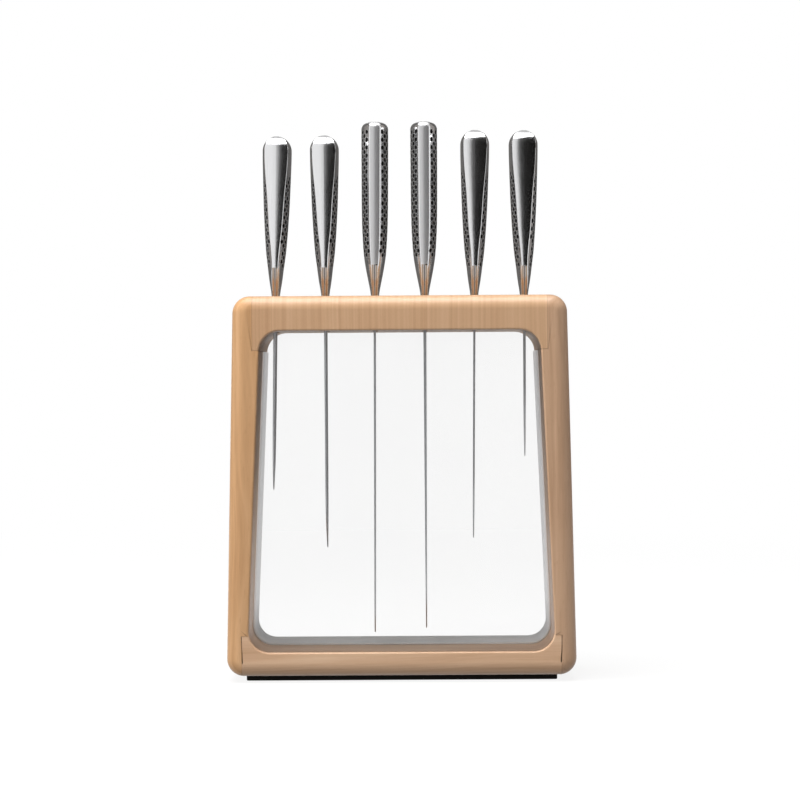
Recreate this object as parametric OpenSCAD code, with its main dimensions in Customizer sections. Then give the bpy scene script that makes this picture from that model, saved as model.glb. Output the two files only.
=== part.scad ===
// Knife block with six knives.
// A tapered frame of four boards, doweled and glued at its corners, carries a clear
// window in front and one behind. The top board is slotted for six knives whose blades
// hang in the chamber between the windows.
// X runs along the row of knives, +Y points to the back and +Z up. The origin is on the
// surface the block stands on, under the middle of the frame.

/* [Frame] */
// Depth of the boards, front to back
block_d = 100; // [80:1:140]
// Outside width of the frame at its top
block_w_top = 221.5; // [180:0.5:300]
// Outside width of the frame at its foot
block_w_foot = 232.5; // [190:0.5:310]
// Thickness of a side board level with the chamber ceiling
side_t_top = 18.5; // [16:0.5:28]
// Thickness of a side board level with the chamber floor
side_t_foot = 14; // [12:0.5:28]
// Thickness of the top board
top_t = 23; // [16:0.5:32]
// Thickness of the bottom board
bottom_t = 16; // [12:0.5:26]
// Radius of the frame's four outside corners, seen from the front
corner_r = 11.5; // [9.5:0.5:20]
// Radius of the round along the outside edges, front and back
edge_r = 9; // [4:0.5:9.5]
// Radius of the chamber's inside corners
chamber_r = 14; // [6:0.5:20]

/* [Corner joints] */
// Side board left outside the joint with the top board
lap_top = 13.2; // [10:0.2:15]
// Side board left outside the joint with the bottom board
lap_foot = 10.5; // [9:0.1:11.5]
// How far the ends of the top board reach down past the ceiling
ear_top = 13; // [8:0.5:20]
// How far the ends of the bottom board reach up past the floor
ear_foot = 11; // [8:0.5:20]
// Diameter of a dowel
dowel_d = 6; // [4:0.5:8]
// Depth of a dowel in the side board
dowel_in_side = 7; // [5:0.5:8]
// Depth of a dowel in the top or bottom board
dowel_in_board = 17; // [10:0.5:24]
// Distance from the front or back face to a dowel's axis
dowel_inset = 14; // [12:0.5:18]
// Clearance of a dowel across its diameter
dowel_play = 0.2; // [0:0.05:0.4]

/* [Windows, liner and base] */
// Thickness of a window
window_t = 3; // [2:0.5:5]
// Distance of a window behind the frame's face
window_recess = 4; // [2.5:0.5:6]
// Depth of the groove that holds a window
groove_depth = 4; // [2:0.5:5]
// Clearance of a window in its groove
window_play = 0.1; // [0:0.05:0.3]
// Thickness of the chamber liner
liner_t = 1.2; // [0.8:0.1:2]
// Length of the liner, from the rear window forwards
liner_l = 45; // [30:1:55]
// Clearance of the liner at the walls, the floor and the rear window
liner_play = 0.1; // [0:0.05:0.3]
// Thickness of the non-slip base
base_t = 4; // [2:0.5:8]
// Distance of the base's ends inside the frame's foot
base_inset_x = 12.7; // [12:0.1:40]
// Distance of the base inside the front and back faces
base_inset_y = 15; // [10:1:30]

/* [Knives] */
// Blade lengths, left to right
blade_lengths = [130, 170, 226, 224, 163, 108]; // [70:1:300]
// Blade widths at the heel, left to right
blade_widths = [32, 42, 30, 48, 27, 22]; // [21:0.5:60]
// Blade thicknesses at the spine, left to right
blade_ts = [2, 1.5, 1.7, 2.2, 1.4, 1.6]; // [1.2:0.1:2.6]
// Handle lengths, left to right
handle_lengths = [107.6, 108, 116.4, 116.4, 111, 110.6]; // [90:0.2:140]
// Tilt of each knife in its slot, degrees to the right
knife_leans = [1, 0, 0.3, 0, 0.5, 0]; // [-1.2:0.1:1.2]
// Handle thickness across the widest part of a tear-shaped handle
tear_handle_t = 19.4; // [16:0.2:23]
// Handle thickness of a straight handle
straight_handle_t = 18; // [15:0.2:23]
// Handle depth at the neck, spine to belly
neck_d = 19; // [15:0.5:20.5]
// How far the belly of the grip stands behind the spine of the blade
grip_d = 23; // [20:0.5:30]
// How far the grip stands out in front of the spine of the blade
grip_flare = 5.5; // [0:0.5:8]
// Handle thickness at the neck, where it stands on the board
neck_t = 4.8; // [4.2:0.1:6]
// Sheet thickness of the handle shells
shell_t = 1.2; // [0.8:0.1:1.6]
// Blade thickness at the cutting edge
edge_t = 0.4; // [0.3:0.1:0.8]
// Blade thickness at the point
point_t = 0.8; // [0.6:0.1:1.2]
// Width of a slot
slot_w = 3.4; // [3.2:0.1:4]
// Clearance at each end of a slot
slot_end_play = 1; // [0.5:0.1:3]
// Distance from the chamber wall to the first and last slot, at the ceiling
slot_margin = 9.2; // [8:0.2:20]
// Height of the longest blade's point over the chamber floor
tip_gap = 10; // [4:0.5:30]
// Gap under a handle that stands on the board
rest_gap = 0.3; // [0.2:0.05:0.5]

/* [Hidden] */
$fn = 48;

wood = "#c99f78";
dowel_wood = "#e2c79c";
clear = "#dfe9ee";
liner_grey = "#a8abad";
rubber = "#141210";
blade_steel = "#b9bcc0";
shell_steel = "#cfd1d3";
sand_fill = "#c8b07c";

// How far a cutting shape runs past what it cuts
past = 1;

// Heights, from the surface the block stands on
foot_z = base_t;
floor_z = foot_z + bottom_t;
top_z = floor_z + tip_gap + max(blade_lengths);
ceiling_z = top_z - top_t;

// Half widths of the frame and the chamber, and how far their sides lean
outer_half_top = block_w_top / 2;
outer_half_foot = block_w_foot / 2;
outer_lean = atan((outer_half_foot - outer_half_top) / (top_z - foot_z));
function outer_half(z) = outer_half_foot - (z - foot_z) * tan(outer_lean);
chamber_half_top = outer_half(ceiling_z) - side_t_top;
chamber_half_foot = outer_half(floor_z) - side_t_foot;
wall_lean = atan((chamber_half_foot - chamber_half_top) / (ceiling_z - floor_z));

// Corner joints: where the end faces of the top and bottom boards stand
joint_x_top = outer_half_top - lap_top;
joint_x_foot = outer_half_foot - lap_foot;
dowel_z_top = top_z - top_t / 2;
dowel_z_foot = foot_z + bottom_t / 2;
dowel_y = block_d / 2 - dowel_inset;

// Windows: distance of their inner faces from the middle of the depth
window_outer_y = block_d / 2 - window_recess;
window_inner_y = window_outer_y - window_t;
liner_back_y = window_inner_y - liner_play;

// Knives: all spines stand on one line, and the widest blade is centred in the depth
knife_count = len(blade_lengths);
slot_pitch = 2 * (chamber_half_top - slot_margin) / (knife_count - 1);
spine_y = -max(blade_widths) / 2;
function knife_x(i) = (i - (knife_count - 1) / 2) * slot_pitch;

// ---------------------------------------------------------------- outlines

function arc(c, r, a0, a1, n = 12) =
    [for (i = [0:n]) let (a = a0 + (a1 - a0) * i / n) c + r * [cos(a), sin(a)]];

function mirrored(points) =
    [for (i = [len(points) - 1:-1:0]) [-points[i][0], points[i][1]]];

// Centres of the round corners of a tapered outline: r inside its side and its end
function upper_centre(half, z, r, lean) = [half - r * (1 - sin(lean)) / cos(lean), z - r];
function lower_centre(half, z, r, lean) = [half - r * (1 + sin(lean)) / cos(lean), z + r];

chamber_upper = upper_centre(chamber_half_top, ceiling_z, chamber_r, wall_lean);
chamber_lower = lower_centre(chamber_half_foot, floor_z, chamber_r, wall_lean);

// The chamber seen from the front, with every side moved out by grow
function chamber_outline(grow) = let (
    half = concat(
        arc(chamber_lower, chamber_r + grow, -90, wall_lean),
        arc(chamber_upper, chamber_r + grow, wall_lean, 90)
    )
) concat(half, mirrored(half));

// One side of the liner's U: up the wall to just under the corner of the top board
function liner_side(grow) = concat(
    arc(chamber_lower, chamber_r + grow, -90, wall_lean),
    [chamber_upper + (chamber_r + grow) * [cos(wall_lean), sin(wall_lean)]]
);

// Stands an outline in X and Z between two depths
module standing(y0, y1) {
    translate([0, y1, 0]) rotate([90, 0, 0]) linear_extrude(y1 - y0) children();
}

// ------------------------------------------------------------------- frame

// A disc with a round rim: one outside corner of the frame
module corner_disc() {
    rotate([90, 0, 0]) rotate_extrude($fn = 32) intersection() {
        translate([corner_r - edge_r, 0]) circle(edge_r, $fn = 32);
        translate([0, -edge_r]) square([corner_r, 2 * edge_r]);
    }
}

// The whole frame as one block, with all its outside edges round
module frame_envelope() {
    upper = upper_centre(outer_half_top, top_z, corner_r, outer_lean);
    lower = lower_centre(outer_half_foot, foot_z, corner_r, outer_lean);
    hull() for (side = [-1, 1], y = [-1, 1], c = [upper, lower])
        translate([side * c[0], y * (block_d / 2 - edge_r), c[1]]) corner_disc();
}

// The room the top board takes between the two side boards
module top_board_room() {
    translate([-joint_x_top, -block_d, ceiling_z - ear_top])
        cube([2 * joint_x_top, 2 * block_d, top_t + ear_top + corner_r]);
}

// The room the bottom board takes between the two side boards
module bottom_board_room() {
    translate([-joint_x_foot, -block_d, foot_z - corner_r])
        cube([2 * joint_x_foot, 2 * block_d, bottom_t + ear_foot + corner_r]);
}

// What is cut from every board: the chamber, the window grooves and the dowel bores
module frame_cuts() {
    standing(-block_d, block_d) polygon(chamber_outline(0));
    standing(-window_outer_y - window_play, -window_inner_y + window_play)
        polygon(chamber_outline(groove_depth));
    standing(window_inner_y - window_play, window_outer_y + window_play)
        polygon(chamber_outline(groove_depth));
    dowels(dowel_play);
}

module dowels(play) {
    for (side = [-1, 1], y = [-dowel_y, dowel_y]) {
        dowel([side * joint_x_top, y, dowel_z_top], side, play);
        dowel([side * joint_x_foot, y, dowel_z_foot], side, play);
    }
}

// One dowel across a joint face at p, its bore a little longer than the dowel
module dowel(p, side, play) {
    translate(p) rotate([0, side * 90, 0]) translate([0, 0, -dowel_in_board - play])
        cylinder(h = dowel_in_board + dowel_in_side + 2 * play, d = dowel_d + play);
}

// Every slot runs right through, also where the ceiling curves down into a wall
module slots() {
    for (i = [0:knife_count - 1])
        translate([knife_x(i), spine_y - slot_end_play, ceiling_z - chamber_r])
            slot(blade_widths[i] + 2 * slot_end_play);
}

// A milled slot with round ends, from the origin back to l
module slot(l) {
    linear_extrude(chamber_r + top_t + past) {
        translate([-slot_w / 2, slot_w / 2]) square([slot_w, l - slot_w]);
        translate([0, slot_w / 2]) circle(d = slot_w);
        translate([0, l - slot_w / 2]) circle(d = slot_w);
    }
}

module top_board() {
    color(wood) difference() {
        intersection() {
            frame_envelope();
            top_board_room();
        }
        frame_cuts();
        slots();
    }
}

module bottom_board() {
    color(wood) difference() {
        intersection() {
            frame_envelope();
            bottom_board_room();
        }
        frame_cuts();
    }
}

// A side board: what is left of the frame beside the chamber on one side
module side_board(side) {
    color(wood) difference() {
        intersection() {
            frame_envelope();
            translate([side > 0 ? 0 : -block_w_foot - block_w_top, -block_d, 0])
                cube([block_w_foot + block_w_top, 2 * block_d, 2 * top_z]);
        }
        top_board_room();
        bottom_board_room();
        frame_cuts();
    }
}

module joint_dowels() {
    color(dowel_wood) dowels(0);
}

// -------------------------------------------------- windows, liner and base

module window(y) {
    color(clear, 0.35) standing(y - window_t / 2, y + window_t / 2)
        polygon(chamber_outline(groove_depth - window_play));
}

module front_window() {
    window(-(window_inner_y + window_outer_y) / 2);
}

module rear_window() {
    window((window_inner_y + window_outer_y) / 2);
}

// A bent sheet against the floor and the walls of the rear part of the chamber
module chamber_liner() {
    outer = liner_side(-liner_play);
    inner = liner_side(-liner_play - liner_t);
    back = [for (i = [len(inner) - 1:-1:0]) inner[i]];
    color(liner_grey) standing(liner_back_y - liner_l, liner_back_y)
        polygon(concat(outer, back, [for (p = inner) [-p[0], p[1]]], mirrored(outer)));
}

module non_slip_base() {
    half = outer_half_foot - base_inset_x;
    color(rubber) translate([-half, base_inset_y - block_d / 2, 0])
        cube([2 * half, block_d - 2 * base_inset_y, base_t]);
}

// ------------------------------------------------------------------ knives
// A knife's own frame: z = 0 at the end of the handle, y = 0 at the spine, blade down.

module in_slot(i) {
    translate([knife_x(i), spine_y, top_z + rest_gap])
        rotate([0, knife_leans[i], 0]) children();
}

// Blade shapes: how far the point drops from the spine (share of the width), where the
// spine starts to drop and where the edge starts to curve (shares of the length), how
// full the curve is, and the depth of its scallops
blade_shapes = [
    [0.35, 0.72, 0.45, 2.4, 0],
    [0.62, 0.78, 0.55, 3.0, 0],
    [0.22, 0.93, 0.88, 2.6, 1.2],
    [0.28, 0.80, 0.40, 2.2, 0],
    [0.40, 0.74, 0.55, 2.2, 0],
    [0.40, 0.60, 0.50, 2.0, 0]
];
// The heel stands this far under the board's top and slopes to the edge this much lower
heel_drop = 9;
heel_slope = 3;
scallop_pitch = 9;
// Points along the curve of a spine or an edge
curve_steps = 9;

// Side view of a blade as [y, z]: down the spine, round the point, up the edge
function blade_outline(i) = let (
    l = blade_lengths[i],
    w = blade_widths[i],
    s = blade_shapes[i],
    point_y = s[0] * w,
    scallops = s[4] > 0 ? floor((s[2] * l - heel_drop - heel_slope) / scallop_pitch) : 0
) concat(
    [[0, 0]],
    [for (k = [0:curve_steps]) let (t = k / curve_steps)
        [point_y * pow(t, 2), -l * (s[1] + (1 - s[1]) * t)]],
    [for (k = [curve_steps - 1:-1:0]) let (t = k / curve_steps)
        [point_y + (w - point_y) * (1 - pow(t, s[3])), -l * (s[2] + (1 - s[2]) * t)]],
    [for (k = [1:scallops * 4 - 1])
        [w - s[4] * pow(sin(45 * k), 2), -s[2] * l + scallop_pitch * k / 4]],
    [[w, -heel_drop - heel_slope], [neck_d, -heel_drop], [neck_d, 0]]
);

// A blade ground from spine to edge and from heel to point
module blade(i) {
    l = blade_lengths[i];
    w = max(blade_widths[i], neck_d);
    t = blade_ts[i];
    color(blade_steel) in_slot(i) intersection() {
        rotate([90, 0, 90]) translate([0, 0, -t]) linear_extrude(2 * t)
            polygon(blade_outline(i));
        translate([0, 0, -l - past]) linear_extrude(l + 2 * past)
            polygon([[-t / 2, 0], [t / 2, 0], [edge_t / 2, w], [-edge_t / 2, w]]);
        translate([0, w + past, 0]) rotate([90, 0, 0]) linear_extrude(w + 2 * past)
            polygon([[-t / 2, 0], [t / 2, 0], [point_t / 2, -l], [-point_t / 2, -l]]);
    }
}

// Handle stations, each [height as a share of the handle, share of the full size].
// Tear handles grow all the way to the butt, straight ones keep their width.
tear_t = [[0, 0], [0.1, 0.27], [0.18, 0.40], [0.26, 0.57], [0.4, 0.73], [0.56, 0.86],
    [0.7, 0.93], [0.86, 1], [1, 1]];
straight_t = [[0, 0], [0.09, 0.32], [0.17, 0.60], [0.24, 0.78], [0.38, 0.93],
    [0.52, 0.98], [0.8, 1], [1, 1]];
grip_shape = [[0, 0], [0.12, 0.2], [0.3, 0.62], [0.5, 0.95], [0.65, 1], [0.85, 0.8],
    [1, 0.55]];
flare_shape = [[0, 0], [0.05, 0.3], [0.1, 0.6], [0.15, 0.85], [0.2, 0.97], [0.25, 1], [1, 1]];
// Smooth face along the spine and the belly: its width as a share of the thickness
tear_strip = [[0, 0.62], [0.2, 0.28], [0.3, 0.36], [0.4, 0.5], [0.6, 0.6], [0.75, 0.74],
    [0.86, 0.8], [1, 0.8]];
straight_strip = [[0, 0.62], [0.15, 0.3], [0.3, 0.34], [1, 0.34]];
straight_butt_r = 4.5;
// Rise of a strip's middle over its edges, as a share of its half width
strip_crown = 0.07;
// Heights of the stations, and between which of them a handle is hollow
station_shares = [0, 0.05, 0.1, 0.17, 0.25, 0.34, 0.45, 0.58, 0.72, 0.84, 0.91, 0.95,
    0.975, 0.99, 1];
hollow_shares = [0.15, 0.98];
// Points round the side of a half section, and which point of its ring is the widest
side_steps = 8;
widest_point = side_steps / 2 + 1;

function is_straight(i) = i == 2 || i == 3;
function handle_t(i) = is_straight(i) ? straight_handle_t : tear_handle_t;
function butt_r(i) = is_straight(i) ? straight_butt_r : tear_handle_t / 2;

// How far the round butt draws each side in at share u of the handle
function butt_inset(i, u) = let (
    r = butt_r(i),
    q = min(0.97, max(0, 1 - (1 - u) * handle_lengths[i] / r))
) r * (1 - sqrt(1 - q * q));

// Half thickness, strip half width, depth behind the blade's spine and depth in front of it
function half_t(i, u) = (neck_t + (handle_t(i) - neck_t)
    * lookup(u, is_straight(i) ? straight_t : tear_t)) / 2 - butt_inset(i, u);
function half_strip(i, u) = half_t(i, u) * lookup(u, is_straight(i) ? straight_strip : tear_strip);
function depth_at(i, u) = neck_d + (grip_d - neck_d) * lookup(u, grip_shape);
function flare_at(u) = grip_flare * lookup(u, flare_shape);

// Half of a handle's section from the spine seam round to the belly seam, as [x, y]:
// crowned strip, bulging side, crowned strip, all moved in by inset. A flat half
// section, where the shells are solid, lies on the seam.
function half_section(i, u, inset, hollow = 1) = let (
    y0 = butt_inset(i, u) + inset - flare_at(u),
    y1 = depth_at(i, u) - butt_inset(i, u) - inset,
    a = max(0.3, half_t(i, u) - inset),
    s = min(a, max(0.2, half_strip(i, u) - 0.5 * inset)),
    crown = strip_crown * s
) concat(
    [[0, y0 - crown]],
    [for (k = [0:side_steps]) let (f = (1 - cos(180 * k / side_steps)) / 2)
        [hollow * (s + (a - s) * pow(sin(180 * f), 0.9)), y0 + (y1 - y0) * f]],
    [[0, y1 + crown]]
);

// Triangles over rings of m points each, n rings, closed by a cap at both ends. A cap
// starts at the widest point of its ring, so that no part of it is a sliver.
function skin_faces(m, n) = concat(
    [for (r = [0:n - 2], k = [0:m - 1]) let (a = r * m + k, b = r * m + (k + 1) % m)
        [a, b, b + m]],
    [for (r = [0:n - 2], k = [0:m - 1]) let (a = r * m + k, b = r * m + (k + 1) % m)
        [a, b + m, a + m]],
    [[for (k = [m:-1:1]) (k + widest_point) % m]],
    [[for (k = [0:m - 1]) (n - 1) * m + (k + widest_point) % m]]
);

// A solid through closed rings, each [height, outline]
module skin(rings) {
    m = len(rings[0][1]);
    polyhedron(
        points = [for (ring = rings, p = ring[1]) [p[0], p[1], ring[0]]],
        faces = [for (f = skin_faces(m, len(rings))) [for (k = [len(f) - 1:-1:0]) f[k]]],
        convexity = 4
    );
}

// Half of a hollow handle, right of the seam; it is solid at the neck and at the butt
module right_half_shell(i) {
    skin([for (u = station_shares) let (
        outer = half_section(i, u, 0),
        hollow = u > hollow_shares[0] && u < hollow_shares[1] ? 1 : 0,
        inner = half_section(i, u, shell_t, hollow),
        back = [for (k = [len(inner) - 1:-1:0]) inner[k]]
    ) [u * handle_lengths[i], concat(outer, back)]]);
}

module right_shell(i) {
    color(shell_steel) in_slot(i) right_half_shell(i);
}

module left_shell(i) {
    color(shell_steel) in_slot(i) mirror([1, 0, 0]) right_half_shell(i);
}

// The loose sand sealed in a handle, which balances it against the blade
module sand(i) {
    inset = shell_t + rest_gap;
    color(sand_fill) in_slot(i)
        skin([for (u = station_shares) if (u > hollow_shares[0] && u < hollow_shares[1])
            let (half = half_section(i, u, inset))
            [u * handle_lengths[i], concat(half, [for (k = [len(half) - 2:-1:1])
                [-half[k][0], half[k][1]]])]]);
}

// ------------------------------------------------------------------- output

top_board();
bottom_board();
side_board(-1);  // left_side_board
side_board(1);  // right_side_board
joint_dowels();
front_window();
rear_window();
chamber_liner();
non_slip_base();
blade(0);  // knife_1_blade
left_shell(0);  // knife_1_left_shell
right_shell(0);  // knife_1_right_shell
sand(0);  // knife_1_sand
blade(1);  // knife_2_blade
left_shell(1);  // knife_2_left_shell
right_shell(1);  // knife_2_right_shell
sand(1);  // knife_2_sand
blade(2);  // knife_3_blade
left_shell(2);  // knife_3_left_shell
right_shell(2);  // knife_3_right_shell
sand(2);  // knife_3_sand
blade(3);  // knife_4_blade
left_shell(3);  // knife_4_left_shell
right_shell(3);  // knife_4_right_shell
sand(3);  // knife_4_sand
blade(4);  // knife_5_blade
left_shell(4);  // knife_5_left_shell
right_shell(4);  // knife_5_right_shell
sand(4);  // knife_5_sand
blade(5);  // knife_6_blade
left_shell(5);  // knife_6_left_shell
right_shell(5);  // knife_6_right_shell
sand(5);  // knife_6_sand
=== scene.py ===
# Knife block with six knives.
# A tapered frame of four boards holds a clear window in front and one behind, and six steel
# knives hang in slots in its top board. Sizes are in millimetres; meshes are written in metres.
# X runs along the row of knives, +Y to the back and +Z up, from the surface it stands on.
import math

import bmesh
import bpy
import numpy as np
from mathutils import Matrix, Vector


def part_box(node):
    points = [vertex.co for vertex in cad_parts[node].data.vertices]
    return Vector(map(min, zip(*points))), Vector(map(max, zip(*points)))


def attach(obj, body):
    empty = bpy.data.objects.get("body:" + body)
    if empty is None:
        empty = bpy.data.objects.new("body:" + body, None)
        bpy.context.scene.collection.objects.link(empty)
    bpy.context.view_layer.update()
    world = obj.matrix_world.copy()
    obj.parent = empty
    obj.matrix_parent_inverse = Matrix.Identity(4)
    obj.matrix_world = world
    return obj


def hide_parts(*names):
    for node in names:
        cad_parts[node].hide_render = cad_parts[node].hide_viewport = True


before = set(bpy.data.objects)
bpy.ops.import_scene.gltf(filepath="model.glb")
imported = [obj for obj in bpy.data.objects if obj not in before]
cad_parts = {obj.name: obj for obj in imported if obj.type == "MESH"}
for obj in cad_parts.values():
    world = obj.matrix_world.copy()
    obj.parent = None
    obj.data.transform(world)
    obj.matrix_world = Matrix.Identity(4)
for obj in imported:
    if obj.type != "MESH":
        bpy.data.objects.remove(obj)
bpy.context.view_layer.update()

# ------------------------------------------------------------------------------- frame boards
# Four maple boards, cut to a tapered frame and glued over dowels at the corners. The outside
# edges carry a large round, the edges of the opening a small one, and a groove for each
# window runs round the chamber. The ends of the top and bottom boards turn into it as ears.
MM = 0.001


def corners(node):
    """Lowest and highest corner of a CAD node, in millimetres."""
    low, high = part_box(node)
    return np.array(low) / MM, np.array(high) / MM


top_low, top_high = corners("top_board")
foot_low, foot_high = corners("bottom_board")
TOP_Z = top_high[2]
FOOT_Z = foot_low[2]
HALF_DEPTH = top_high[1]
JOINT_TOP_X = top_high[0]
JOINT_FOOT_X = foot_high[0]
EAR_TOP_Z = top_low[2]
EAR_FOOT_Z = foot_high[2]
TOP_T = 23
BOTTOM_T = 16
CEILING_Z = TOP_Z - TOP_T
FLOOR_Z = FOOT_Z + BOTTOM_T

# Half widths of the frame, thickness of its side boards, rounds of its edges, and the depth
# of the window grooves. SEAM is how wide a glued joint shows.
OUTER_HALF_TOP = 110.75
OUTER_HALF_FOOT = 116.25
SIDE_T_TOP = 18.5
SIDE_T_FOOT = 14
CORNER_R = 11.5
EDGE_R = 9
CHAMBER_R = 14
OPENING_R = 1.0
JOINT_R = 0.12
SEAM = 0.3
GROOVE = 4.1
# How far the flat runs on beside the big round, and round the corner of an ear
SUPPORT = 0.5
EAR_PAST = 0.1
WINDOW_PLAY = 0.1
window_low, window_high = corners("front_window")
GROOVE_FRONT = window_low[1] - WINDOW_PLAY
GROOVE_BACK = window_high[1] + WINDOW_PLAY

outer_slope = (OUTER_HALF_FOOT - OUTER_HALF_TOP) / (TOP_Z - FOOT_Z)
outer_lean = math.atan(outer_slope)


def outer_half(z):
    """Half width of the frame at height z: it widens evenly towards the foot."""
    return OUTER_HALF_FOOT - (z - FOOT_Z) * outer_slope


WALL_TOP_X = outer_half(CEILING_Z) - SIDE_T_TOP
WALL_FOOT_X = outer_half(FLOOR_Z) - SIDE_T_FOOT
wall_lean = math.atan((WALL_FOOT_X - WALL_TOP_X) / (CEILING_Z - FLOOR_Z))


def round_centre(half, z, r, lean, end):
    """Centre of a round corner r inside a side that leans and an end at height z: end is 1
    for an upper corner and -1 for a lower one."""
    return np.array([half - r * (1 - end * math.sin(lean)) / math.cos(lean), z - end * r])


def arc(centre, r, start, stop, count):
    """Points on a circle: centre + r * (cos a, sin a), a in even steps of degrees."""
    a = np.radians(np.linspace(start, stop, count))
    return centre + r * np.stack([np.cos(a), np.sin(a)], -1)


def line(start, stop, count):
    """Even steps from start to stop, both included."""
    share = np.linspace(0, 1, count)[:, None]
    return np.array(start) * (1 - share) + np.array(stop) * share


wall_degrees = math.degrees(wall_lean)
outer_degrees = math.degrees(outer_lean)
chamber_upper = round_centre(WALL_TOP_X, CEILING_Z, CHAMBER_R, wall_lean, 1)
chamber_lower = round_centre(WALL_FOOT_X, FLOOR_Z, CHAMBER_R, wall_lean, -1)
outer_upper = round_centre(OUTER_HALF_TOP, TOP_Z, CORNER_R, outer_lean, 1)
outer_lower = round_centre(OUTER_HALF_FOOT, FOOT_Z, CORNER_R, outer_lean, -1)


SHARP = 40


def carried(name, rings, sharp=SHARP, merge=False, **layers):
    """A closed solid from rings of points, an array of rings x points x (x, y, z) in mm.
    Each point joins the next one in its ring and the same one in the next ring, and a face
    closes each end. The faces are turned round where the solid comes out inside out."""
    count, size = rings.shape[:2]
    ring, point = np.mgrid[0:count - 1, 0:size]
    here = ring * size + point
    beside = ring * size + (point + 1) % size
    sides = np.stack([here, beside, beside + size, here + size], -1).reshape(-1, 4)
    ends = [np.arange(size)[::-1], np.arange(size) + (count - 1) * size]
    points = rings.reshape(-1, 3)
    p = (points - points.mean(0))[sides]
    volume = np.einsum("ij,ij->", p[:, 0], np.cross(p[:, 1], p[:, 2]))
    volume += np.einsum("ij,ij->", p[:, 0], np.cross(p[:, 2], p[:, 3]))
    faces = sides.tolist() + [end.tolist() for end in ends]
    if volume < 0:
        faces = [face[::-1] for face in faces]
    mesh = bpy.data.meshes.new(name)
    mesh.from_pydata((points * MM).tolist(), [], faces)
    for layer, values in layers.items():
        mesh.attributes.new(layer, "FLOAT", "POINT").data.foreach_set("value", values.ravel())
    if merge:
        form = bmesh.new()
        form.from_mesh(mesh)
        bmesh.ops.remove_doubles(form, verts=form.verts, dist=1e-6)
        form.to_mesh(mesh)
        form.free()
    mesh.polygons.foreach_set("use_smooth", np.ones(len(mesh.polygons), bool))
    mesh.set_sharp_from_angle(angle=math.radians(sharp))
    piece = bpy.data.objects.new(name, mesh)
    bpy.context.scene.collection.objects.link(piece)
    return piece


def unit(vectors):
    """Vectors scaled to length 1."""
    return vectors / np.linalg.norm(vectors, axis=-1, keepdims=True)


def board(name, outer, inward, inner, into, edge, groove, seam):
    """A board as one section carried along its length. outer and inner are its outside and
    inside lines as (x, z), inward and into the unit directions from them into the wood. The
    section runs down the big round, d = r (1 - cos a), y = r (1 - sin a) in from the face,
    across the face, round the small edge and along the inside with its two grooves."""
    big = np.radians(np.linspace(0, 90, 10))
    small = np.radians(np.linspace(0, 90, 5))
    ones = np.ones(len(outer))
    rows = [(outer, inward, 0 * ones, -HALF_DEPTH + EDGE_R + SUPPORT, 0)]
    rows += [(outer, inward, EDGE_R * (1 - math.cos(a)) * ones,
              -HALF_DEPTH + EDGE_R * (1 - math.sin(a)), 0) for a in big]
    rows += [(outer, inward, (EDGE_R + SUPPORT) * ones, -HALF_DEPTH, 0)]
    rim = inner + into * edge[:, None]
    towards = unit(outer + inward * EDGE_R - rim)
    towards = np.where((seam > 0)[:, None], into, towards)
    rows += [(rim, towards, SEAM * ones, -HALF_DEPTH, 0)]
    rows += [(inner, into, edge * (1 - math.sin(b)),
              -HALF_DEPTH + edge * (1 - math.cos(b)), 1) for b in small]
    rows += [(inner, into, depth, y, 1) for depth, y in
             [(0 * ones, GROOVE_FRONT), (groove, GROOVE_FRONT),
              (groove, GROOVE_BACK), (0 * ones, GROOVE_BACK)]]
    flat = np.stack([base + way * depth[:, None] for base, way, depth, y, at in rows], 1)
    y = np.stack([y * ones for base, way, depth, y, at in rows], 1)
    dark = np.stack([np.maximum(at * seam, seam > 1) for base, way, depth, y, at in rows], 1)
    front = np.stack([flat[..., 0], y, flat[..., 1]], -1)
    back = front[:, ::-1] * [1, -1, 1]
    rings = np.concatenate([front, back], 1)
    return carried(name, rings, merge=True, seam=np.concatenate([dark, dark[:, ::-1]], 1))


def level_board(name, ceiling, outer_z, ear_z, joint_x, centre, end):
    """The top or bottom board, cut into upright sections: its inside line follows the
    flat, the round corner and the ear as x grows, and end is 1 for the top board."""
    ear_x = centre[0] + math.sqrt(CHAMBER_R ** 2 - (ear_z - centre[1]) ** 2)
    ear_degrees = math.degrees(math.asin((ear_z - centre[1]) / CHAMBER_R))
    corner = arc(centre, CHAMBER_R, end * 90, ear_degrees, 14)
    middle = line([0, ceiling], corner[0], 16)[:-1]
    ear = np.array([[ear_x + OPENING_R + EAR_PAST, ear_z], [joint_x - SEAM, ear_z],
                    [joint_x, ear_z]])
    half = np.concatenate([middle, corner, ear])
    into = np.zeros_like(half)
    into[:, 1] = end
    into[len(middle):-len(ear)] = unit(corner - centre)
    edge = np.full(len(half), OPENING_R)
    edge[-len(ear):] = JOINT_R
    groove = np.full(len(half), GROOVE)
    groove[-len(ear):] = SEAM / 4
    seam = np.zeros(len(half))
    seam[-len(ear):] = 1
    seam[-1] = 2
    inner = np.concatenate([half[:0:-1] * [-1, 1], half])
    into = np.concatenate([into[:0:-1] * [-1, 1], into])
    outer = inner.copy()
    outer[:, 1] = outer_z
    inward = np.zeros_like(outer)
    inward[:, 1] = -end
    both = [np.concatenate([v[:0:-1], v]) for v in (edge, groove, seam)]
    return board(name, outer, inward, inner, into, *both)


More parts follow.
